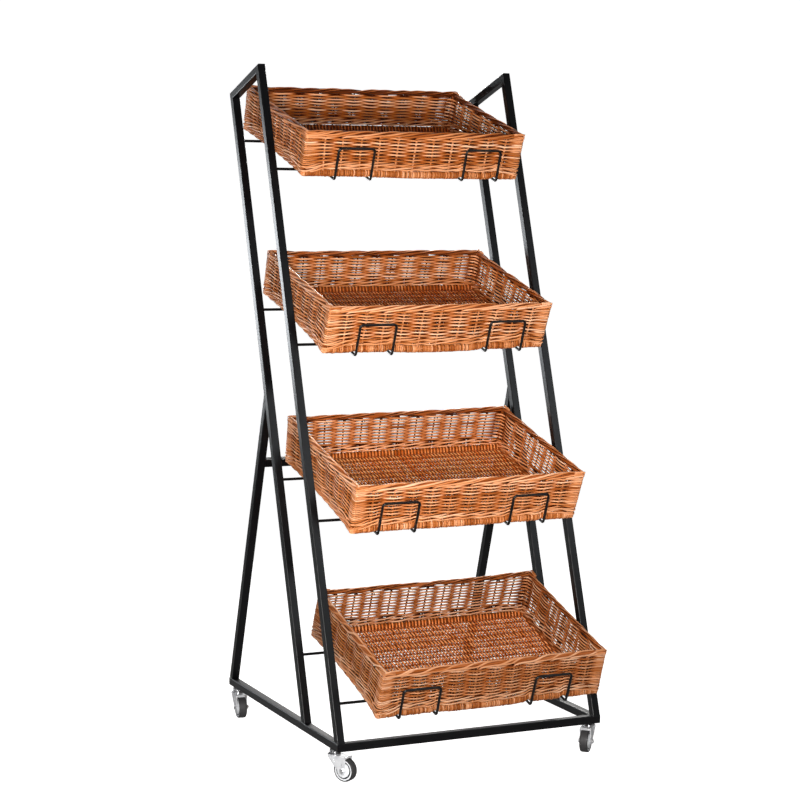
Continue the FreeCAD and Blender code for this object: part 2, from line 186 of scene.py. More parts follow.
def metal(name, dark, light, rough, scale=60.0, metallic=0.85):
    """zinc or steel: bright and dull patches, partly the plating's own mottle, partly painted reflection standing in
    for its uneven reflections
    """
    m, nt, p = material(name)
    tc = node(nt, "ShaderNodeTexCoord")
    cloud = node(nt, "ShaderNodeTexNoise", in_Scale=scale, in_Detail=4.0)
    fine = node(nt, "ShaderNodeTexNoise", in_Scale=1200.0, in_Detail=2.0)
    for n in (cloud, fine):
        nt.links.new(tc.outputs["Object"], n.inputs["Vector"])
    col = ramp(nt, [(0.32, dark), (0.68, light)], cloud.outputs["Fac"])
    nt.links.new(col.outputs["Color"], p.inputs["Base Color"])
    rr = ramp(nt, [(0.3, (rough - 0.06,) * 3), (0.7, (rough + 0.08,) * 3)], cloud.outputs["Fac"])
    nt.links.new(rr.outputs["Color"], p.inputs["Roughness"])
    p.inputs["Metallic"].default_value = metallic
    bump = node(nt, "ShaderNodeBump", in_Strength=0.05, in_Distance=0.0003)
    nt.links.new(fine.outputs["Fac"], bump.inputs["Height"])
    nt.links.new(bump.outputs["Normal"], p.inputs["Normal"])
    return m


M_FRAME = powder("powder_coat", (0.0012, 0.0012, 0.0016), (0.0028, 0.0028, 0.0034), 0.33, 0.22)
M_WIRE = powder("wire_coat", (0.003, 0.0028, 0.0028), (0.007, 0.0065, 0.0065), 0.30, 0.32)
M_ZINC = metal("zinc_plate", (0.66, 0.67, 0.70), (0.93, 0.94, 0.96), 0.22, 60.0, 0.50)
M_RACE = metal("race_steel", (0.22, 0.22, 0.23), (0.45, 0.45, 0.46), 0.24, 90.0)
M_BOLT = metal("bolt_steel", (0.45, 0.45, 0.46), (0.68, 0.68, 0.69), 0.30, 140.0)
M_TYRE = powder("tyre_rubber", (0.024, 0.023, 0.024), (0.044, 0.042, 0.043), 0.55, 0.3, 0.12)
M_HUB = powder("wheel_hub", (0.60, 0.61, 0.63), (0.72, 0.73, 0.75), 0.45, 0.4)
M_PLUG = powder("plug_plastic", (0.010, 0.010, 0.011), (0.018, 0.018, 0.019), 0.5, 0.3)


def willow(name, stops, shade_russet, deep_shade):
    """split by strand, streaked along the rod, with painted shade where rods cross over it: the colour runs to a
    russet, then near black, as the rod's shade attribute rises
    """
    m, nt, p = material(name)
    a = node(nt, "ShaderNodeAttribute", attribute_name="strand")
    g = node(nt, "ShaderNodeAttribute", attribute_name="grain")
    h = node(nt, "ShaderNodeAttribute", attribute_name="painted_shade")
    streak = node(nt, "ShaderNodeTexNoise", in_Scale=1.0, in_Detail=4.0, in_Roughness=0.6)
    nt.links.new(g.outputs["Vector"], streak.inputs["Vector"])
    mix = node(nt, "ShaderNodeMath", operation="MULTIPLY_ADD")
    mix.inputs[1].default_value = 0.60
    nt.links.new(streak.outputs["Fac"], mix.inputs[0])
    sub = node(nt, "ShaderNodeMath", operation="MULTIPLY_ADD")
    sub.inputs[1].default_value = 0.66
    sub.inputs[2].default_value = -0.13
    nt.links.new(a.outputs["Fac"], sub.inputs[0])
    nt.links.new(sub.outputs[0], mix.inputs[2])
    col = ramp(nt, stops, mix.outputs[0])
    last = col.outputs["Color"]
    # painted shade: the rod's colour is mixed towards the russet, then the near-black shade colour, where it lies
    # hidden
    for lo, hi, most, shade in ((0.08, 0.42, 0.92, shade_russet), (0.34, 0.78, 0.98, deep_shade)):
        fade = ramp(nt, [(lo, (0, 0, 0)), (hi, (most,) * 3)], h.outputs["Fac"])
        dark = nt.nodes.new("ShaderNodeMix")
        dark.data_type = "RGBA"
        dark.inputs[7].default_value = (*shade, 1)
        nt.links.new(fade.outputs["Color"], dark.inputs[0])
        nt.links.new(last, dark.inputs[6])
        last = dark.outputs[2]
    nt.links.new(last, p.inputs["Base Color"])
    rr = ramp(nt, [(0.3, (0.24,) * 3), (0.75, (0.38,) * 3)], streak.outputs["Fac"])
    nt.links.new(rr.outputs["Color"], p.inputs["Roughness"])
    p.inputs["Specular IOR Level"].default_value = 0.10
    bump = node(nt, "ShaderNodeBump", in_Strength=0.3, in_Distance=0.0006)
    nt.links.new(streak.outputs["Fac"], bump.inputs["Height"])
    nt.links.new(bump.outputs["Normal"], p.inputs["Normal"])
    return m


M_WILLOW = [willow("willow_%d" % (k + 1), [
    (0.10, (0.220 * g, 0.046 * g, 0.006 * g)),
    (0.32, (0.440 * g, 0.130 * g, 0.030 * g)),
    (0.50, (0.660 * g, 0.252 * g, 0.094 * g)),
    (0.70, (0.830 * g, 0.400 * g, 0.205 * g)),
    (0.92, (0.900 * g, 0.560 * g, 0.360 * g)),
], (0.360 * g, 0.078 * g, 0.011 * g), (0.036 * g, 0.0050 * g, 0.0006 * g)) for k, g in enumerate((1.02, 1.0, 1.02, 0.66))]


# the floors get a redder, more saturated colour set: painted shade, standing in for the reddened shade inside the
# baskets
M_BASE = [willow("willow_base_%d" % (k + 1), [
    (pos, (min(0.95, r * gr), min(0.95, g * gg), min(0.95, b * gb)))
    for pos, (r, g, b) in ((0.10, (0.220, 0.046, 0.006)), (0.32, (0.440, 0.130, 0.030)), (0.50, (0.660, 0.252, 0.094)), (0.70, (0.830, 0.400, 0.205)), (0.92, (0.900, 0.560, 0.360)))
], (0.360 * gr, 0.078 * gg, 0.011 * gb), (0.036 * gr, 0.0050 * gg, 0.0006 * gb)) for k, (gr, gg, gb) in enumerate(((1.18, 0.88, 0.60), (1.18, 0.88, 0.60), (1.26, 0.96, 0.62), (1.00, 0.74, 0.48)))]


# ------------------------------------------------------------------ mesh builder
class Soup:
    """collects tubes and writes them as one mesh with strand and grain attributes and an attribute of painted shade"""

    def __init__(self):
        self.v, self.strand, self.grain, self.painted_shade = [], [], [], []
        self.quads, self.quad_uv, self.face_mat = [], [], []
        self.caps = []
        self.count = 0
        self.along = 0.0

    def tube(self, pts, ra, rb, up, tone, sides=6, closed=False, twist=0.0, caps=True, over=None, deep_shade=0.3, shade=1.9, mat=0):
        """pts Nx3 mm, ra semi-axis along up, rb semi-axis across, up Nx3.
        over: +1 where the rod lies outside its neighbours, -1 where it lies inside; it also sets the painted shade,
        dark on the face turned in under a neighbour"""
        pts = np.asarray(pts, float)
        n = len(pts)
        if closed:
            tan = np.roll(pts, -1, 0) - np.roll(pts, 1, 0)
        else:
            tan = np.gradient(pts, axis=0)
        tan /= np.linalg.norm(tan, axis=1)[:, None]
        up = np.broadcast_to(np.asarray(up, float), pts.shape)
        up = up - tan * (up * tan).sum(1)[:, None]
        up /= np.linalg.norm(up, axis=1)[:, None]
        side = np.cross(tan, up)
        ra = np.broadcast_to(np.asarray(ra, float), (n,))
        rb = np.broadcast_to(np.asarray(rb, float), (n,))
        th = np.arange(sides) * 2 * math.pi / sides + twist
        c, s = np.cos(th), np.sin(th)
        v = pts[:, None, :] + up[:, None, :] * (ra[:, None] * c)[..., None] + side[:, None, :] * (rb[:, None] * s)[..., None]
        seg = np.linalg.norm(np.diff(pts, axis=0), axis=1)
        ell = np.concatenate([[0], np.cumsum(seg)])
        base = self.count
        self.v.append(v.reshape(-1, 3))
        self.strand.append(np.full(n * sides, tone) if np.isscalar(tone) else np.repeat(np.asarray(tone), sides))
        gr = np.empty((n, sides, 3))
        gr[..., 0] = (ell[:, None] + self.along * 1.37) * 0.016
        gr[..., 1] = c * 1.15 + tone_seed(tone) * 31.7
        gr[..., 2] = s * 1.15 + tone_seed(tone) * 17.3
        self.grain.append(gr.reshape(-1, 3))
        # painted shade: either a given amount per ring or vertex, or from over: dark on the face turned under a
        # neighbour and along the sides where neighbours touch (edge)
        if over is None:
            deep_shade = np.asarray(deep_shade, float)
            rec = deep_shade if deep_shade.ndim == 2 else np.broadcast_to(np.broadcast_to(deep_shade, (n,))[:, None], (n, sides))
        else:
            o = -s[None, :]
            w = np.clip(np.asarray(over, float), -1, 1)[:, None]
            edge = np.where(np.abs(np.asarray(over, float)) > 1.5, 0.96, 0.88)[:, None]
            rec = np.abs(o) * ((1 - np.sign(o) * w) / 2) ** shade + (1 - np.abs(o)) ** 1.5 * edge
        self.painted_shade.append(np.array(rec, float).ravel())
        m = n if closed else n - 1
        i = np.arange(m)[:, None]
        j = np.arange(sides)[None, :]
        i2, j2 = (i + 1) % n, (j + 1) % sides
        q = np.stack([i * sides + j, i * sides + j2, i2 * sides + j2, i2 * sides + j], -1) + base
        self.quads.append(q.reshape(-1, 4))
        self.face_mat.append(np.repeat(np.broadcast_to(np.asarray(mat, int), (n,))[:m], sides))
        e0 = ell[:m] + self.along
        if closed:
            e1 = np.concatenate([ell[1:], [ell[-1] + np.linalg.norm(pts[0] - pts[-1])]]) + self.along
        else:
            e1 = ell[1:] + self.along
        uv = np.empty((m, sides, 4, 2))
        v0, v1 = np.arange(sides) / sides, (np.arange(sides) + 1) / sides
        uv[:, :, 0, 0] = uv[:, :, 1, 0] = e0[:, None]
        uv[:, :, 2, 0] = uv[:, :, 3, 0] = e1[:, None]
        uv[:, :, 0, 1] = uv[:, :, 3, 1] = v0[None, :]
        uv[:, :, 1, 1] = uv[:, :, 2, 1] = v1[None, :]
        self.quad_uv.append(uv.reshape(-1, 4, 2))
        if not closed and caps:
            self.caps.append(base + np.arange(sides)[::-1])
            self.caps.append(base + (n - 1) * sides + np.arange(sides))
        self.along += float(ell[-1]) + (float(np.linalg.norm(pts[0] - pts[-1])) if closed else 0.0)
        self.count += n * sides

    def build(self, name, mat, transform, second=None):
        v = np.concatenate(self.v) * MM
        v = v @ np.array(transform.to_3x3()).T + np.array(transform.translation)
        quads = np.concatenate(self.quads)
        uvq = np.concatenate(self.quad_uv)
        # lay the strips out in rows of a square map
        total = self.along
        rows = max(1, int(math.ceil(math.sqrt(total / 13.0))))
        width = total / rows * 1.02
        start = uvq[:, 0, 0]
        row = np.minimum((start / width).astype(int), rows - 1)
        uvq[..., 0] = (uvq[..., 0] - (row * width)[:, None]) / (width * 1.02)
        uvq[..., 1] = (row[:, None] + 0.05 + uvq[..., 1] * 0.9) / (rows + 1)
        cap_faces = self.caps
        nloops = len(quads) * 4 + sum(len(c) for c in cap_faces)
        me = bpy.data.meshes.new(name)
        me.vertices.add(len(v))
        me.vertices.foreach_set("co", v.astype(np.float32).ravel())
        me.loops.add(nloops)
        idx = np.concatenate([quads.ravel()] + [np.asarray(c) for c in cap_faces]) if cap_faces else quads.ravel()
        me.loops.foreach_set("vertex_index", idx.astype(np.int32))
        sizes = np.concatenate([np.full(len(quads), 4), np.array([len(c) for c in cap_faces], int)]).astype(np.int32)
        starts = np.concatenate([[0], np.cumsum(sizes)[:-1]]).astype(np.int32)
        me.polygons.add(len(sizes))
        me.polygons.foreach_set("loop_start", starts)
        me.polygons.foreach_set("use_smooth", np.ones(len(sizes), bool))
        me.update(calc_edges=True)
        uvl = me.uv_layers.new(name="OFBake")
        capuv = []
        for k, c in enumerate(cap_faces):
            cx = (k % 400) / 400 * 0.98 + 0.001
            cy = (rows + 0.15 + 0.7 * ((k // 400) % 8) / 8) / (rows + 1)
            for j in range(len(c)):
                capuv.append((cx + 0.0010 * math.cos(6.283 * j / len(c)), cy + 0.0006 * math.sin(6.283 * j / len(c))))
        alluv = np.concatenate([uvq.reshape(-1, 2)] + ([np.array(capuv)] if capuv else []))
        uvl.data.foreach_set("uv", alluv.astype(np.float32).ravel())
        at = me.attributes.new("strand", "FLOAT", "POINT")
        at.data.foreach_set("value", np.concatenate(self.strand).astype(np.float32))
        ag = me.attributes.new("grain", "FLOAT_VECTOR", "POINT")
        ag.data.foreach_set("vector", np.concatenate(self.grain).astype(np.float32).ravel())
        ar = me.attributes.new("painted_shade", "FLOAT", "POINT")
        ar.data.foreach_set("value", np.concatenate(self.painted_shade).astype(np.float32))
        me.validate()
        o = bpy.data.objects.new(name, me)
        bpy.context.scene.collection.objects.link(o)
        me.materials.append(mat)
        if second is not None:
            me.materials.append(second)
            me.polygons.foreach_set("material_index", np.concatenate([np.concatenate(self.face_mat), np.zeros(len(cap_faces), int)]).astype(np.int32))
            me.update()
        return o


def tone_seed(tone):
    return float(tone if np.isscalar(tone) else tone[0])


def wobble(rng, s, length, waves, amp):
    """smooth closed noise along a loop of that length"""
    out = np.zeros_like(s)
    for k in waves:
        out += rng.normal() * np.cos(2 * math.pi * k * s / length + rng.uniform(0, 6.28))
    return out * amp / math.sqrt(len(waves))


# ------------------------------------------------------------------ wicker baskets
STEP = 4.6
STAKE_R = 2.2
ROD = 2.02          # half pitch of the rows
DEEP = 1.9          # half depth of a weaver
AMP = 3.8           # how far a weaver swings to each side of the stakes
# weavers are a little thicker than their pitch and bed into each other: front, right, rear, left wall of each basket,
# first where they pass outside a stake, then where they pass inside it
FAT_OUT = ((1.16, 1.85, 1.80, 1.06), (1.16, 1.70, 1.64, 1.06), (1.16, 1.55, 1.40, 1.06), (1.14, 1.58, 1.26, 1.06))
FAT_IN = ((1.62, 1.22, 1.20, 1.50), (1.62, 1.20, 1.22, 1.45), (1.60, 1.20, 1.22, 1.40), (1.50, 1.16, 1.18, 1.35))
WALL_MID = AMP + DEEP + 0.3
# front foot: how far it hangs between the stop wires (left end, left, middle, right, right end), and where the wires are
SAG = ((0.3, 0.3, 4.5, 5.0, 5.0), (3.5, 4.5, 6.5, 5.0, 3.0), (3.0, 2.5, 4.0, 4.5, 4.5), (4.0, 4.5, 6.5, 7.0, 5.0))
FORE = (0.0, 6.0, 1.5, 3.5)
LEGS = ((-216.7, -119.3, 139.9, 237.4), (-221.7, -124.2, 138.6, 236.1), (-238.9, -141.4, 118.5, 216.0), (-246.5, -149.0, 105.4, 202.9))
LIFT = (3.2, 1.0, 0.0, 0.0)      # rear rim, all along
LIFT_R = (0.0, 0.0, 1.5, 5.0)    # rear rim, towards its right corner


def smooth(x):
    x = np.clip(x, 0, 1)
    return x * x * (3 - 2 * x)


class Basket:
    def __init__(self, i):
        bx, bv, yaw, wr, dr, h, wb, db, vo, rise = BASKETS[i]
        self.i, self.h, self.rise = i, h, rise
        self.wr, self.dr, self.wb, self.db, self.vo = wr, dr, wb, db, vo
        zr, zf = ROD_REAR_Z[i], ROD_FRONT_Z[i]
        yr = REAR_FOOT + TAN * (zr - TUBE) - TUBE / 2 / CT
        yf = TAN * (zf - TUBE) + TUBE / 2 / CT
        d = Vector((0, yf - yr, zf - zr)).normalized()
        n = Vector((0, d.z, -d.y))
        if n.z < 0:
            n = -n
        mid = Vector((0, (yr + yf) / 2 - ORIGIN_Y, (zr + zf) / 2 + CASTER_H))
        X = Vector((1, 0, 0))
        ex = X * math.cos(yaw) + d * math.sin(yaw)
        ev = d * math.cos(yaw) - X * math.sin(yaw)
        c0 = mid + X * bx + d * bv + n * (ROD_D / 2 + REST_GAP)
        m = Matrix((ex, ev, n)).transposed().to_4x4()
        m.translation = c0 * MM
        self.m = m
        self.rng = np.random.RandomState(101 + 17 * i)
        self.layout()

    # perimeter: front (q = +b) from left to right, right side to the rear, rear, left side
    def layout(self):
        W, D, R = self.wb, self.db, 9.0
        arc = 11.0
        fl, sl = W - 2 * R, D - 2 * R
        self.R0 = R
        self.lens = [fl, arc, sl, arc, fl, arc, sl, arc]
        self.total = sum(self.lens)
        self.bounds = np.concatenate([[0], np.cumsum(self.lens)])
        self.nf, self.ns = 12, 8
        stakes = []
        for k, cnt in ((0, self.nf), (2, self.ns), (4, self.nf), (6, self.ns)):
            a, length = self.bounds[k], self.lens[k]
            pos = a - arc / 2 + (length + arc) * np.arange(1, cnt) / cnt
            pos = pos + self.rng.normal(0, 1.5, cnt - 1)
            stakes.append(pos)
        self.stakes = stakes
        ph = self.rng.uniform(0, 6.28, 8)
        am = self.rng.normal(0, 1, 8)
        self.ripple = (ph, am)

    def sway(self, s):
        """slow rise and fall shared by all the rows, mm"""
        ph, am = self.ripple
        out = np.zeros_like(s)
        for j, k in enumerate((3, 5, 8, 11, 17, 23, 29, 37)):
            out += am[j] * np.cos(2 * math.pi * k * s / self.total + ph[j]) * (0.55 if k < 12 else 0.28)
        return out * 0.55

    def corner(self, s, reach):
        """1 at a corner, 0 beyond reach mm from it"""
        s = np.mod(s, self.total)
        d = np.full_like(s, 1e9)
        for k in (1, 3, 5, 7):
            c = self.bounds[k] + self.lens[k] / 2
            dd = np.abs(s - c)
            d = np.minimum(d, np.minimum(dd, self.total - dd))
        return 1 - smooth((d - 5) / reach)

    def outline(self, s, t, inset):
        """points in (p, q) and outward normals at perimeter position s, level t (0..1), inset from the outer face"""
        s = np.mod(np.asarray(s, float), self.total)
        t = np.broadcast_to(np.asarray(t, float), s.shape)
        inset = np.broadcast_to(np.asarray(inset, float), s.shape)
        W = self.wb + (self.wr - self.wb) * t
        D = self.db + (self.dr - self.db) * t
        a, b = W / 2, D / 2
        R = 10.5 - 5.5 * np.clip(t, 0, 1)
        k = np.clip(np.searchsorted(self.bounds, s, side="right") - 1, 0, 7)
        f = (s - self.bounds[k]) / np.array(self.lens)[k]
        p, q = np.zeros_like(s), np.zeros_like(s)
        nx, ny = np.zeros_like(s), np.zeros_like(s)
        bow_side = 7.5 * np.clip(1 - t, 0, 1) ** 1.3
        bow_front = 1.5 * np.clip(1 - t, 0, 1) ** 1.3
        bow = 4 * f * (1 - f)
        # straight runs
        sel = k == 0
        p[sel] = (-(a - R) + 2 * (a - R) * f)[sel]; q[sel] = (b - inset - bow_front * bow)[sel]; nx[sel] = 0; ny[sel] = 1
        sel = k == 2
        q[sel] = ((b - R) - 2 * (b - R) * f)[sel]; p[sel] = (a - inset - bow_side * bow)[sel]; nx[sel] = 1; ny[sel] = 0
        sel = k == 4
        p[sel] = ((a - R) - 2 * (a - R) * f)[sel]; q[sel] = (-(b - inset) + bow_front * bow)[sel]; nx[sel] = 0; ny[sel] = -1
        sel = k == 6
        q[sel] = (-(b - R) + 2 * (b - R) * f)[sel]; p[sel] = (-(a - inset) + bow_side * bow)[sel]; nx[sel] = -1; ny[sel] = 0
        for kk, (cx, cy, a0) in {1: (1, 1, 90), 3: (1, -1, 0), 5: (-1, -1, -90), 7: (-1, 1, 180)}.items():
            sel = k == kk
            ang = np.radians(a0 - 90 * f)
            # inside the corner's centre the path shrinks towards a small fillet of its own
            over = np.maximum(inset - (R - 2.2), 0)
            r = np.maximum(R - inset, 2.2)
            p[sel] = (cx * (a - R - over) + r * np.cos(ang))[sel]
            q[sel] = (cy * (b - R - over) + r * np.sin(ang))[sel]
            nx[sel] = np.cos(ang)[sel]; ny[sel] = np.sin(ang)[sel]
        return p, q + self.vo * t, nx, ny

    def place(self, s, z, inset):
        """point on the basket's wall, with the rim plane tipped by rise"""
        z = np.asarray(z, float)
        t = z / self.h
        p, q, nx, ny = self.outline(s, t, inset)
        tip = self.rise / self.dr * np.clip(t, 0, 1.1) * (q - self.vo * t)
        low = np.clip(1 - t, 0, 1) ** 1.2
        near = smooth((q - (self.db / 2 - 62)) / 52)
        down, fore = self.hang(p)
        up = smooth((-q / (self.db / 2) - 0.62) / 0.3) * np.clip(t, 0, 1)
        rise = LIFT[self.i] + LIFT_R[self.i] * smooth((p / (self.wb / 2) - 0.45) / 0.5)
        return np.stack([p, q + fore * low * near, z - tip - down * low * near + rise * up], 1)

    def hang(self, p):
        """sag and forward bow of the front foot at p, none where a stop wire passes"""
        W = self.wb
        sag = np.interp(p, np.array([-0.5, -0.27, 0.0, 0.3, 0.5]) * W, SAG[self.i])
        notch = np.ones_like(p)
        for leg in LEGS[self.i]:
            notch = notch * (1 - np.exp(-((p - leg) / 9.0) ** 4))
        mid = smooth((p - LEGS[self.i][1] - 12) / 40) * smooth((LEGS[self.i][2] - 12 - p) / 40)
        return sag * notch, FORE[self.i] * mid

    def samples(self, step):
        """perimeter positions, finer round the corners"""
        out = []
        for k in range(8):
            n = max(2, int(round(self.lens[k] / step))) if k % 2 == 0 else 6
            out.append(self.bounds[k] + self.lens[k] * np.arange(n) / n)
        return np.concatenate(out)

    def weave(self, s, parity):
        """+1 outside the stakes, -1 inside, smooth between; outside at each corner"""
        knots, vals = [], []
        for k, st in zip((0, 2, 4, 6), self.stakes):
            for j, pos in enumerate(st):
                knots.append(pos)
                vals.append(1.0 if (j + parity) % 2 else -1.0)
            # hold the corner's value across the arc
            knots += [self.bounds[k + 1] - 3.0, self.bounds[k + 2] + 3.0]
            vals += [1.0, 1.0]
        knots = np.array(knots); vals = np.array(vals)
        order = np.argsort(knots)
        knots, vals = knots[order], vals[order]
        kk = np.concatenate([[knots[-1] - self.total], knots, [knots[0] + self.total]])
        vv = np.concatenate([[vals[-1]], vals, [vals[0]]])
        j = np.clip(np.searchsorted(kk, s, side="right") - 1, 0, len(kk) - 2)
        f = (s - kk[j]) / (kk[j + 1] - kk[j])
        w = 0.5 - 0.5 * np.cos(math.pi * f)
        same = vv[j] == vv[j + 1]
        out = vv[j] * (1 - w) + vv[j + 1] * w
        wide = np.abs(kk[j + 1] - kk[j]) > 24
        out = np.where(same & wide, vv[j] * (1 - 0.45 * np.sin(math.pi * f)), out)
        return out

    def fat(self, s, table):
        """thickness of the weavers over their pitch, easing from wall to wall round the corners"""
        f = table[self.i]
        mids = [self.bounds[k] + self.lens[k] / 2 for k in (1, 3, 5, 7)]
        x = [0.0]
        y = [f[0]]
        for k, m in enumerate(mids):
            x += [m - 30.0, m + 30.0]
            y += [f[k], f[(k + 1) % 4]]
        return np.interp(np.mod(s, self.total), x, y)

    def dip(self, s, z):
        """rows run down towards the corners, most at the foot"""
        depth = 10.5 * np.clip(1 - (z - 22.0) / (0.55 * self.h), 0, 1) ** 1.4
        return depth * self.corner(s, 62.0)

    def walls(self):
        rng = self.rng
        so = Soup()
        h = self.h
        s = self.samples(STEP)
        n = len(s)
        z0, z1 = 38.0, h - 16.5
        rows = int(round((z1 - z0) / (2 * ROD)))
        rad = np.array([ROD * (1 + wobble(rng, s, self.total, (1, 2, 3, 5, 8, 13), 0.13) + rng.normal(0, 0.05)) for _ in range(rows)])
        edge = np.zeros((rows + 1, n))
        for r in range(rows):
            edge[r + 1] = edge[r] + 2 * rad[r]
        scale = (z1 - z0) / edge[-1]
        up = np.zeros((n, 3)); up[:, 2] = 1
        sway = self.sway(s)
        fat_out, fat_in = self.fat(s, FAT_OUT), self.fat(s, FAT_IN)
        # open weave in the last bay of the rear wall, close weave on the side wall beside it
        b3, b4 = self.bounds[3], self.bounds[4]
        bay = smooth((s - b4) / 6) * smooth((b4 + 46 - s) / 10)
        fat_out = fat_out + (1.0 - fat_out) * bay * 0.9
        beside = smooth((s - (b3 - 120)) / 40) * smooth((b3 + 2 - s) / 4)
        fat_out = fat_out + np.maximum(1.75 - fat_out, 0) * beside
        tone_run = 0.5
        for r in range(rows):
            zc = z0 + (edge[r] + rad[r]) * scale
            fade = np.sin(math.pi * np.clip((zc - z0 + 4) / (z1 - z0 + 8), 0, 1))
            z = zc + sway * fade + wobble(rng, s, self.total, (20, 27, 41), 0.2)
            z = z - self.dip(s, zc)
            squeeze = 1 + 0.12 * self.corner(s, 60) * np.clip(1 - (zc - z0) / (0.6 * h), 0, 1)
            w = self.weave(s, r % 2)
            fat = fat_out + (fat_in - fat_out) * (1 - w) / 2
            rv = rad[r] * scale * (fat - (fat - 0.98) * self.corner(s, 24.0)) * squeeze
            amp = AMP * (1 + 0.05 * rng.normal())
            lean = np.where(w > 0, 1.0, 0.92)
            inset = WALL_MID - amp * w * lean
            if rng.rand() < 0.65:
                tone_run = 0.5 + 0.22 * rng.normal()
            # painted light and shade: a rod is lighter where it swings fully out or in at a stake, darker where it
            # crosses between
            tone = np.clip(tone_run + 0.02 + wobble(rng, s, self.total, (1, 2, 3, 5), 0.13) + 0.10 * np.abs(w) ** 2, 0.02, 0.98)
            so.tube(self.place(s, z, inset), rv, DEEP * rad[r] / ROD, up, tone, sides=8, closed=True, over=w)
        return so.build("basket_%d_weave" % (self.i + 1), M_WILLOW[self.i], self.m)

    def stakes_piece(self):
        so = Soup()
        rng = self.rng
        h = self.h
        # painted shade: stakes of the right and rear walls, seen from inside, are painted dark; those of the front and
        # left walls less so, the front per basket
        for st, shade in zip(self.stakes, ((0.16, 0.20, 0.32, 0.22)[self.i], 0.74, 0.80, 0.30)):
            for pos in st:
                zz = np.linspace(5.0, h - 9.0, 14)
                lean = rng.normal(0, 1.2)
                so.tube(self.place(pos + lean * (zz / h - 0.5), zz, np.full(14, WALL_MID)), STAKE_R, STAKE_R, (1, 0.3, 0), 0.58 + 0.10 * rng.normal(), sides=8, deep_shade=shade)
        # corner posts, two rods each, painted in shade
        for k in (1, 3, 5, 7):
            for off in (-3.6, 3.6):
                pos = self.bounds[k] + self.lens[k] / 2 + off
                zz = np.linspace(3.0, h - 8.0, 12)
                so.tube(self.place(np.full(12, pos), zz, np.full(12, 2 * DEEP + 0.5 + 2.9)), 2.9, 2.9, (1, 0.3, 0), 0.4 + 0.1 * rng.normal(), sides=8, deep_shade=0.6)
        # every second row turns round the inside of the corner
        z0, z1 = 38.0, h - 16.5
        for k in (1, 3, 5, 7):
            mid = self.bounds[k] + self.lens[k] / 2
            zz = z0 + 2.0
            while zz < z1:
                f = np.linspace(-1, 1, 11)
                ss = mid + 25.0 * f
                ins = WALL_MID + 5.6 - 3.6 * smooth((np.abs(f) - 0.40) / 0.60)
                # painted shade on each wrap: dark along its top and bottom, where the rows touch, and deepening towards
                # its ends
                lip = np.abs(np.sin(np.arange(6) * 2 * math.pi / 6))[None, :]
                dark = 0.02 + 0.22 * smooth((np.abs(f) - 0.6) / 0.4)[:, None] + 0.6 * (1 - lip) ** 1.2
                so.tube(self.place(ss, zz + 0.2 * rng.normal() - self.dip(ss, np.full(11, zz)), ins), 2.7, 1.8, (0, 0, 1), float(np.clip(0.62 + 0.18 * rng.normal(), 0.05, 0.95)), sides=6, deep_shade=np.clip(dark, 0, 1))
                zz += 4 * ROD
        return so.build("basket_%d_stakes" % (self.i + 1), M_WILLOW[self.i], self.m)

    def wale(self):
        """three rods worked one after the other in front of two stakes and behind one"""
        so = Soup()
        rng = self.rng
        s = self.samples(STEP)
        knots = np.concatenate([st for st in self.stakes] + [[self.bounds[k] + self.lens[k] / 2] for k in (1, 3, 5, 7)])
        knots = np.sort(knots)
        kk = np.concatenate([knots[-2:] - self.total, knots, knots[:3] + self.total])
        u = np.interp(s, kk, np.arange(len(kk)) - 2.0)       # stake count round the basket
        m = len(knots)
        turns = round(m / 3.0)
        for level in range(2):
            zl = 25.2 + 8.6 * level
            for k in range(3):
                ph = 2 * math.pi * (u / m * turns + k / 3.0)
                wv = np.cos(ph)
                z = zl + 2.9 * np.sin(ph) + self.sway(s) * 0.35 + wobble(rng, s, self.total, (9, 14, 22), 0.25)
                z = z - self.dip(s, zl) * 0.95
                inset = WALL_MID + 0.3 - (AMP + 0.9) * np.clip(wv * 1.25 + 0.25, -1, 1)
                tone = np.clip(0.66 + 0.15 * rng.normal() + wobble(rng, s, self.total, (2, 3, 5), 0.12), 0.05, 0.98)
                rr = 2.45 * (1 + wobble(rng, s, self.total, (3, 5, 9), 0.06))
                # over also paints shade on the face of each rod turned in towards the stakes
                so.tube(self.place(s, z, inset), rr, rr * 0.85, np.tile([0.0, 0, 1], (len(s), 1)), tone, sides=8, closed=True, over=np.clip(wv * 1.25 + 0.25, -1, 1))
        return so.build("basket_%d_wale" % (self.i + 1), M_WILLOW[self.i], self.m)

    def rope(self, so, z, pitch, strands, up_amp, out_amp, r, inset, tone0=0.5, step=5.0, sides=7, wave=0.0, deep_shade=0.3):
        rng = self.rng
        s = self.samples(step)
        turns = round(self.total / pitch)
        for k in range(strands):
            ph = 2 * math.pi * (s / self.total * turns + k / strands)
            zz = z + up_amp * np.sin(ph) + wobble(rng, s, self.total, (3, 5, 9, 14), 0.3 + wave)
            ins = inset - out_amp * np.cos(ph)
            rr = r * (1 + wobble(rng, s, self.total, (4, 7, 11), 0.04))
            tone = np.clip(tone0 + 0.16 * rng.normal() + wobble(rng, s, self.total, (2, 3, 5, 7), 0.13), 0.02, 0.98)
            so.tube(self.place(s, zz, ins), rr, rr, (0, 0, 1), tone, sides=sides, closed=True, deep_shade=deep_shade)

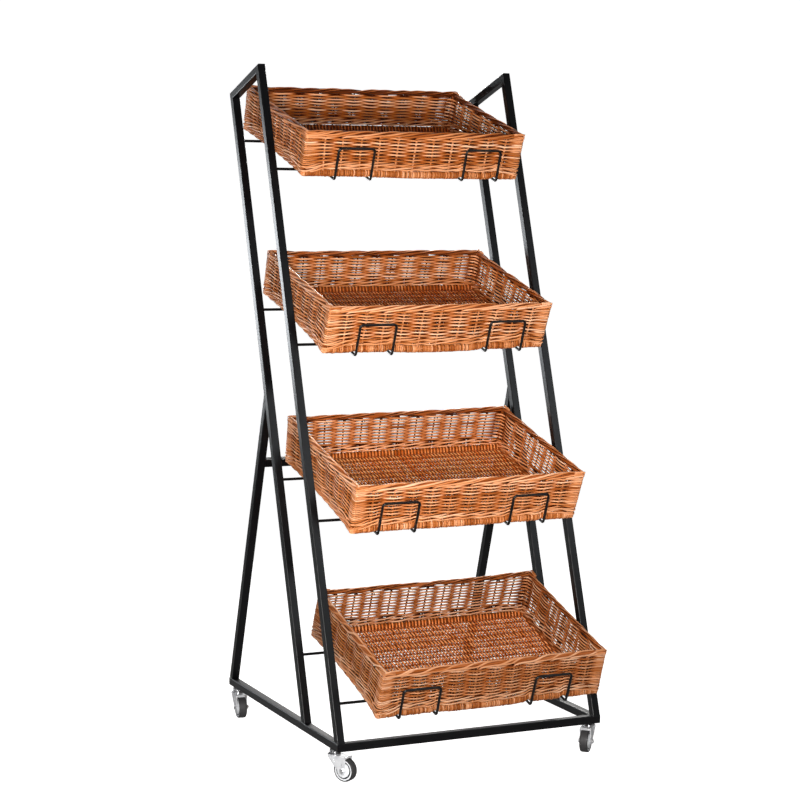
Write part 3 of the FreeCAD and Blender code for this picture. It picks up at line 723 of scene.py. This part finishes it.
    def rim(self):
        """border: each stake is laid down to the right, along the outside, over the top and in"""
        so = Soup()
        rng = self.rng
        h = self.h
        # painted shade: the rope lies in shade, darkest on the first basket
        self.rope(so, z=h - 9.0, pitch=300.0, strands=2, up_amp=2.6, out_amp=1.2, r=4.2, inset=7.2, tone0=0.42, sides=6, deep_shade=(0.70, 0.45, 0.42, 0.30)[self.i])
        starts = np.concatenate([st for st in self.stakes] + [[self.bounds[k] + self.lens[k] / 2 - 6, self.bounds[k] + self.lens[k] / 2 + 10] for k in (1, 3, 5, 7)])
        heads = self.i == 3
        for s0 in starts:
            s0 = s0 + rng.normal(0, 2.5)
            if heads:
                us = np.array([-9, -5, 0, 8, 20, 34, 46, 54, 62, 70, 80, 95, 112, 126, 140, 156], float)
                zz = np.array([25, 20, 15.5, 13.2, 12.6, 12.3, 11.8, 10.0, 7.2, 4.9, 4.0, 3.9, 4.4, 6.2, 8.6, 11.0])
                ins = np.array([5.5, 5.0, 4.2, 3.4, 3.1, 3.0, 3.0, 3.3, 4.3, 6.0, 7.4, 8.0, 8.6, 9.8, 11.2, 12.0])
                rr = np.array([2.2, 2.4, 2.8, 3.1, 3.2, 3.2, 3.2, 3.2, 3.3, 3.3, 3.2, 3.2, 3.1, 2.9, 2.6, 2.2])
            else:
                us = np.array([-9, -5, 0, 10, 24, 40, 56, 72, 88, 102, 114, 128, 144, 160, 176, 190], float)
                zz = np.array([25, 20, 16.6, 15.4, 14.2, 12.5, 10.6, 8.5, 6.4, 4.8, 3.9, 4.1, 5.6, 7.8, 10.0, 12.0])
                ins = np.array([5.5, 5.0, 4.2, 3.6, 3.2, 3.0, 3.0, 3.2, 3.9, 5.2, 7.0, 8.8, 10.2, 11.2, 11.8, 12.0])
                rr = np.array([2.2, 2.4, 2.7, 2.9, 3.0, 3.1, 3.1, 3.1, 3.2, 3.2, 3.2, 3.1, 3.0, 2.8, 2.5, 2.1])
            k = 1 + 0.10 * rng.normal()
            us = us * k
            m = 42
            uu = np.interp(np.arange(m) / (m - 1.0), (us - us[0]) / (us[-1] - us[0]), us)
            # a rounded interpolation of the table
            def soft(vals):
                y = np.interp(uu, us, vals)
                y2 = y.copy()
                for _ in range(3):
                    y2[1:-1] = 0.25 * y2[:-2] + 0.5 * y2[1:-1] + 0.25 * y2[2:]
                return y2
            jz = rng.normal(0, 0.5)
            z = h - soft(zz) - jz * 0.5 + 0.4 * np.sin(uu / 33.0 + rng.uniform(0, 6.28))
            inset = soft(ins) + 0.25 * rng.normal()
            r = soft(rr) * (1 + 0.07 * rng.normal()) * np.clip(np.minimum(np.arange(m) / 3.0 + 0.5, (m - 1 - np.arange(m)) / 5.0 + 0.35), 0, 1)
            tone = np.clip((0.38, 0.70, 0.70, 0.70)[self.i] + 0.17 * rng.normal() + 0.06 * np.sin(uu / 40.0 + rng.uniform(0, 6.28)), 0.03, 0.98)
            a = np.arange(m) / (m - 1.0)
            # painted shade: each strand darkens towards its ends, where it goes under, and on the side turned away from
            # shown, where the next strand covers it
            deep_shade = np.clip(0.04 + 0.5 * smooth((a - 0.72) / 0.28) + 0.35 * smooth((0.08 - a) / 0.08), 0, 1)
            shown = np.radians(-90 + 78 * smooth((a - 0.30) / 0.32) + 40 * smooth((a - 0.70) / 0.3))
            off = (1 - np.cos(np.arange(9) * 2 * math.pi / 9 - shown[:, None])) / 1.0
            deep_shade = np.clip(deep_shade[:, None] + 0.85 * np.clip(off, 0, 1.4) ** 1.4, 0, 1)
            so.tube(self.place(s0 + uu, z, inset), r * 0.96, r, (0, 0, 1), tone, sides=9, deep_shade=deep_shade)
        # cut ends that stand out at the corners, lightly painted in shade
        for k, (cx, cy) in {1: (1, 1), 3: (1, -1), 5: (-1, -1), 7: (-1, 1)}.items():
            mid = self.bounds[k] + self.lens[k] / 2
            for j in range(4):
                f = np.linspace(0, 1, 12)
                side = 1 if j % 2 else -1
                ss = mid + side * (30 * (1 - f) ** 1.1 + rng.uniform(0, 1.5)) - side * 3.0 * f
                zz = h - 3.6 - j * 3.6 + 1.2 * np.sin(f * 3.14) + 0.6 * f
                ins = 3.3 - 3.0 * f ** 2
                r = 2.9 * np.clip(1.25 - f, 0.22, 1) ** 0.6
                so.tube(self.place(ss, zz, ins), r, r, (0, 0, 1), 0.50 + 0.12 * rng.normal(), sides=8, deep_shade=0.1)
        return so.build("basket_%d_border" % (self.i + 1), M_WILLOW[self.i], self.m)

    def floor(self):
        rng = self.rng
        so = Soup()
        W, D = self.wb, self.db
        pitch = 4.7
        x0 = -W / 2 + 12.0
        count = int((W - 24.0) / pitch)
        pitch = (W - 24.0) / count
        foot_r = 10.3           # over the wraps
        stick = 6.9
        wr_ = 1.8
        qf = D / 2 - foot_r     # centre of the front foot stick
        zf = foot_r + 0.1
        sticks = int(round((2 * qf) / 25.5))
        sp = 2 * qf / sticks
        A = 2.0
        zmid = 7.9
        # floor sticks, painted in shade
        for k in range(1, sticks):
            xs = np.linspace(-W / 2 + 11, W / 2 - 11, 12)
            so.tube(np.stack([xs, np.full(12, -qf + sp * k), np.full(12, zmid)], 1), 2.4, 2.4, (0, 0, 1), 0.4 + 0.1 * rng.normal(), sides=6, deep_shade=0.35)
        per = 6
        nq = sticks * per + 1
        qs = np.linspace(-qf, qf, nq)
        group, left_in_group = 0.45, 0
        # rods are thinner along a few bands, which leaves rows of small gaps
        bands = [(rng.uniform(-0.42, 0.30) * W, rng.uniform(0.12, 0.35) * W, rng.uniform(-0.15, 0.42) * D, rng.uniform(0.05, 0.12) * D) for _ in range(6)]
        for w in range(count + 1):
            x = x0 + pitch * w
            par = w % 2
            if left_in_group <= 0:
                group = 0.44 + 0.25 * rng.normal()
                left_in_group = rng.randint(2, 9)
            left_in_group -= 1
            ph = math.pi * (qs + qf) / sp
            cw = np.cos(ph) * (1 if par else -1)
            z = zmid + A * cw * 0.94
            first = 1 if par else -1
            last = first * (1 if sticks % 2 == 0 else -1)
            rad = wr_ * (1 + 0.10 * rng.normal())
            R = foot_r - wr_ + 0.35 * rng.normal()
            body_q = qs[2:-2]
            body_z = z[2:-2]
            fr = np.radians(np.linspace(112, -88, 9))      # from above, forward, to below
            if last > 0:
                front = np.stack([qf + R * np.cos(fr), zf + R * np.sin(fr)], 1)
            else:
                front = np.stack([qf + R * np.cos(-fr), zf + R * np.sin(-fr)], 1)
            if first > 0:
                rear = np.stack([-qf - R * np.cos(fr), zf + R * np.sin(fr)], 1)[::-1]
            else:
                rear = np.stack([-qf - R * np.cos(-fr), zf + R * np.sin(-fr)], 1)[::-1]
            body = np.stack([body_q, body_z], 1)
            path = np.concatenate([rear, body, front])
            over = np.concatenate([np.full(len(rear), 2.0 * first), cw[2:-2], np.full(len(front), 2.0 * last)])
            xx = x + wobble(rng, path[:, 0] + D, 2 * D, (2, 3, 5, 7, 11), 0.48) + 0.25 * rng.normal()
            px = np.clip(xx, -W / 2 + 10, W / 2 - 10)
            near = smooth((path[:, 0] - (qf - 44)) / 40)
            down, fore = self.hang(px)
            pts = np.stack([px, path[:, 0] + fore * near, path[:, 1] - down * near], 1)
            width = pitch * ((0.68, 0.68, 0.67, 0.66)[self.i] + 0.04 * np.clip(over, -1, 1)) * (1 + 0.07 * rng.normal())
            for bx_, bw, bq, bd in bands:
                inside = np.clip(1 - np.abs(path[:, 0] - bq) / bd, 0, 1) * np.clip(1.6 - abs(x - bx_) / bw, 0, 1)
                width = width * (1 - (0.11, 0.11, 0.10, 0.24)[self.i] * smooth(inside * 1.6))
            # ribs of the roll differ in width and height
            nf_ = len(front)
            width[-nf_:] = pitch * 0.60 * (1 + 0.14 * rng.normal())
            width[:nf_] = pitch * 0.60 * (1 + 0.14 * rng.normal())
            width = np.clip(width, 1.6, 3.9)
            up = np.zeros((len(pts), 3)); up[:, 0] = 1
            tone = float(np.clip(group + (0.20, 0.22, 0.28, 0.42)[self.i] + 0.24 * rng.normal(), 0.02, 0.98))
            # painted light and shade: each weaver is lighter where it rides over a stick, darker where it dips under
            tt = np.clip(tone + 0.06 + 0.26 * np.clip(over, -1, 1), 0.02, 0.98)
            # the roll's ribs; the first basket's are painted darker, as shade
            ribt = np.clip((0.19, 0.34, 0.34, 0.34)[self.i] + 0.25 * (group - 0.44) + (0.25, 0.19, 0.19, 0.19)[self.i] * rng.normal(), 0.02, 0.95)
            tt[-nf_:] = ribt
            tt[:nf_] = ribt
            inner = np.ones(len(pts), int)
            inner[:nf_ - 1] = 0
            inner[-nf_:] = 0
            so.tube(pts, width, rad, up, tt, sides=6, over=over, shade=(0.8, 0.8, 0.95, 1.0)[self.i], mat=inner)
        # front and rear foot sticks, painted in shade
        for q in (-qf, qf):
            xs = np.linspace(-W / 2 + 9, W / 2 - 9, 120)
            down, fore = self.hang(xs)
            k = 1.0 if q > 0 else 0.0
            so.tube(np.stack([xs, q + k * fore, zf - k * down], 1), stick, stick, (0, 0, 1), 0.45, sides=8, deep_shade=0.55)
        return so.build("basket_%d_base" % (self.i + 1), M_WILLOW[self.i], self.m, M_BASE[self.i])

    def side_feet(self):
        """rods along the lower edge of the two sides, and round the feet of the corners"""
        so = Soup()
        rng = self.rng
        # painted shade on these rods: darker where a rod turns in, and towards the inner ends of the slanting rods
        for k in (2, 6):
            a, b = self.bounds[k] - 6, self.bounds[k + 1] + 6
            s = np.linspace(a, b, 76)
            for j in range(4):
                ph = 2 * math.pi * ((s - a) / 150.0 + j / 4)
                zz = 9.6 + 4.9 * np.sin(ph)
                ins = 6.4 - 2.9 * np.cos(ph)
                tone = float(np.clip(0.5 + 0.15 * rng.normal(), 0.05, 0.95))
                so.tube(self.place(s, zz, ins), 3.0, 3.0, (0, 0, 1), tone, sides=8, deep_shade=np.clip(0.28 - 0.3 * np.cos(ph), 0.04, 0.7))
            # a pair that closes the wall between the foot and the first row
            for j in range(2):
                ph = 2 * math.pi * ((s - a) / 95.0 + j / 2)
                so.tube(self.place(s, 18.4 + 1.5 * np.sin(ph), WALL_MID + 0.4 - 1.6 * np.cos(ph)), 2.5, 2.5, (0, 0, 1), 0.42, sides=8, deep_shade=np.clip(0.45 - 0.25 * np.cos(ph), 0.1, 0.8))
        # slanting rods that fill the foot of each corner
        for k in (1, 3, 5, 7):
            mid = self.bounds[k] + self.lens[k] / 2
            for side in (-1, 1):
                along = (self.i == 3 and k == 7 and side == 1)
                reach = 64.0 if along else 34.0
                for j in range(5 if along else 4):
                    f = np.linspace(0, 1, 14)
                    ss = mid + side * (reach + 6 * j) * f
                    zz = 4.2 + 3.3 * j + (14.0 - 1.2 * j) * f ** 1.3
                    ins = 3.0 + 3.4 * f ** 2
                    tone = float(np.clip(0.58 + 0.14 * rng.normal(), 0.05, 0.95))
                    r = 2.0 * (1 - 0.25 * f)
                    so.tube(self.place(ss, zz, ins), r, r, (0, 0, 1), tone, sides=8, deep_shade=0.1 + 0.4 * f ** 2)
        return so.build("basket_%d_foot" % (self.i + 1), M_WILLOW[self.i], self.m)


for i in range(4):
    b = Basket(i)
    body = "basket_%d" % (i + 1)
    made = [b.walls(), b.stakes_piece(), b.wale(), b.rim(), b.floor(), b.side_feet()]
    for o in made:
        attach(o, body)
    for o in made:
        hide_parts(body)

# ------------------------------------------------------------------ weld beads on the frame
def bead(so, pts, r, rng):
    """a small uneven weld bead along a closed path"""
    pts = np.asarray(pts, float)
    d = np.linalg.norm(np.roll(pts, -1, 0) - pts, axis=1)
    ell = np.concatenate([[0], np.cumsum(d)])
    n = max(14, int(ell[-1] / 0.9))
    t = np.arange(n) / n * ell[-1]
    loop = np.vstack([pts, pts[:1]])
    p = np.stack([np.interp(t, ell, loop[:, k]) for k in range(3)], 1)
    c = p.mean(0)
    rr = r * (1 + 0.16 * np.sin(t * 2 * math.pi / 2.4) + 0.10 * rng.normal(size=n))
    so.tube(p, rr, rr, p - c, 0.5, sides=6, closed=True)


welds = Soup()
wrng = np.random.RandomState(7)
XR = H2 - TUBE
for i in range(4):
    for z, rear in ((ROD_REAR_Z[i], True), (ROD_FRONT_Z[i], False)):
        y = (REAR_FOOT + TAN * (z - TUBE) - TUBE / 2 / CT) if rear else (TAN * (z - TUBE) + TUBE / 2 / CT)
        for sx in (-1, 1):
            th = np.linspace(0, 2 * math.pi, 20, endpoint=False)
            r = ROD_D / 2 + 0.5
            bead(welds, np.stack([np.full(20, sx * (XR - 0.5)), y - ORIGIN_Y + r * np.cos(th), z + CASTER_H + r * np.sin(th)], 1), 0.95, wrng)
# feet of the posts and braces on the base rails
for sx in (-1, 1):
    for y0, y1 in ((0.0, TUBE / CT), (REAR_FOOT - TUBE / CT, REAR_FOOT)):
        xc = sx * (H2 - TUBE / 2)
        h = TUBE / 2 - 0.4
        z = TUBE + CASTER_H + 0.2
        loop = [(xc - h, y0 - ORIGIN_Y + 0.6, z), (xc + h, y0 - ORIGIN_Y + 0.6, z), (xc + h, y1 - ORIGIN_Y + 0.4, z), (xc - h, y1 - ORIGIN_Y + 0.4, z)]
        bead(welds, loop, 0.9, wrng)
frame_welds = welds.build("frame_welds", M_FRAME, Matrix.Identity(4))
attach(frame_welds, "frame")

# ------------------------------------------------------------------ painted shade: dark rings in the wheels' grooves, where shadow falls
CAST = {"front_left": (-1, 0, -30.0), "front_right": (1, 0, 44.0), "rear_left": (-1, 1, 6.0), "rear_right": (1, 1, 18.0)}
for cname, (sx, rear, deg) in CAST.items():
    an = math.radians(deg)
    T = np.array([-math.sin(an), -math.cos(an), 0.0])
    A = np.array([math.cos(an), -math.sin(an), 0.0])
    o = np.array([sx * (H2 - TUBE / 2), (722.1 - 37.5 if rear else 37.5) - ORIGIN_Y, 28.0]) + T * 31.5
    U = np.array([0.0, 0.0, 1.0])
    # painted shade: thin dark rings in the grooves, standing for their shadow
    groove_shade = Soup()
    th = np.linspace(0, 2 * math.pi, 72, endpoint=False)
    for side in (-1, 1):
        for rad, a, r in ((19.3, 8.2, 1.35), (25.8, 9.0, 1.25)):
            ring = o + np.outer(np.cos(th) * rad, T) + np.outer(np.sin(th) * rad, U) + A * (side * a)
            groove_shade.tube(ring, r, r, A, 0.5, sides=8, closed=True)
    race = Soup()
    for rad, z, r in ((10.3, 6.6, 2.5), (12.1, 3.3, 0.8), (11.4, 9.4, 1.2)):
        ring = np.stack([sx * (H2 - TUBE / 2) + rad * np.cos(th), np.full(72, (722.1 - 37.5 if rear else 37.5) - ORIGIN_Y) + rad * np.sin(th), np.full(72, CASTER_H - z)], 1)
        race.tube(ring, r, r, (0, 0, 1), 0.5, sides=10, closed=True)
    race_o = race.build("caster_%s_race" % cname, M_RACE, Matrix.Identity(4))
    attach(race_o, "frame")
    ring_o = groove_shade.build("caster_%s_seal" % cname, M_PLUG, Matrix.Identity(4))
    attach(ring_o, "wheel_" + cname)

# ------------------------------------------------------------------ materials of the carried-over nodes
def pick(name):
    if "_stop_" in name:
        return M_WIRE
    if name.startswith("caster_"):
        if "tyre" in name:
            return M_TYRE
        if "wheel_core" in name:
            return M_HUB
        if "axle" in name or "bolt" in name or "nut" in name:
            return M_BOLT
        if "stem" in name:
            return M_RACE
        return M_ZINC
    if "plug" in name:
        return M_PLUG
    if "nut" in name:
        return M_BOLT
    return M_FRAME


for name, o in NODES.items():
    if name.startswith("basket_"):
        continue
    for sl in o.material_slots:
        sl.material = pick(name)

# ------------------------------------------------------------------ floor and backdrop
def sheet(name, half, z, glow, grey):
    me = bpy.data.meshes.new(name)
    me.from_pydata([(-half, -half, z), (half, -half, z), (half, half, z), (-half, half, z)], [], [(0, 1, 2, 3)])
    o = bpy.data.objects.new(name, me)
    bpy.context.scene.collection.objects.link(o)
    m, nt, p = material(name)
    p.inputs["Base Color"].default_value = (grey, grey, grey, 1)
    p.inputs["Emission Color"].default_value = (1, 1, 1, 1)
    p.inputs["Emission Strength"].default_value = glow
    p.inputs["Roughness"].default_value = 0.9
    me.materials.append(m)
    return o


pale = sheet("pale_floor", 2.4, 0.0, 1.0, 0.8)
pale.visible_diffuse = False
pale.visible_glossy = False
bounce = sheet("floor_bounce", 2.4, -0.002, 0.25, 0.5)
bounce.visible_camera = False

dome = bpy.data.meshes.new("backdrop")
rings, cols, rad_ = 16, 32, 18.0
dv = [(rad_ * math.sin(math.pi * i / rings) * math.cos(2 * math.pi * j / cols), rad_ * math.sin(math.pi * i / rings) * math.sin(2 * math.pi * j / cols), rad_ * math.cos(math.pi * i / rings)) for i in range(1, rings) for j in range(cols)]
df = [(i * cols + j, i * cols + (j + 1) % cols, (i + 1) * cols + (j + 1) % cols, (i + 1) * cols + j) for i in range(rings - 2) for j in range(cols)]
dv += [(0, 0, rad_), (0, 0, -rad_)]
df += [(j, len(dv) - 2, (j + 1) % cols) for j in range(cols)]
df += [((rings - 2) * cols + j, (rings - 2) * cols + (j + 1) % cols, len(dv) - 1) for j in range(cols)]
dome.from_pydata(dv, [], df)
back = bpy.data.objects.new("backdrop", dome)
bpy.context.scene.collection.objects.link(back)
bm, bnt, bp = material("backdrop_white")
bp.inputs["Base Color"].default_value = (0.8, 0.8, 0.8, 1)
bp.inputs["Emission Color"].default_value = (1, 1, 1, 1)
bp.inputs["Emission Strength"].default_value = 1.0
dome.materials.append(bm)
back.visible_diffuse = False
back.visible_glossy = False
back.visible_shadow = False
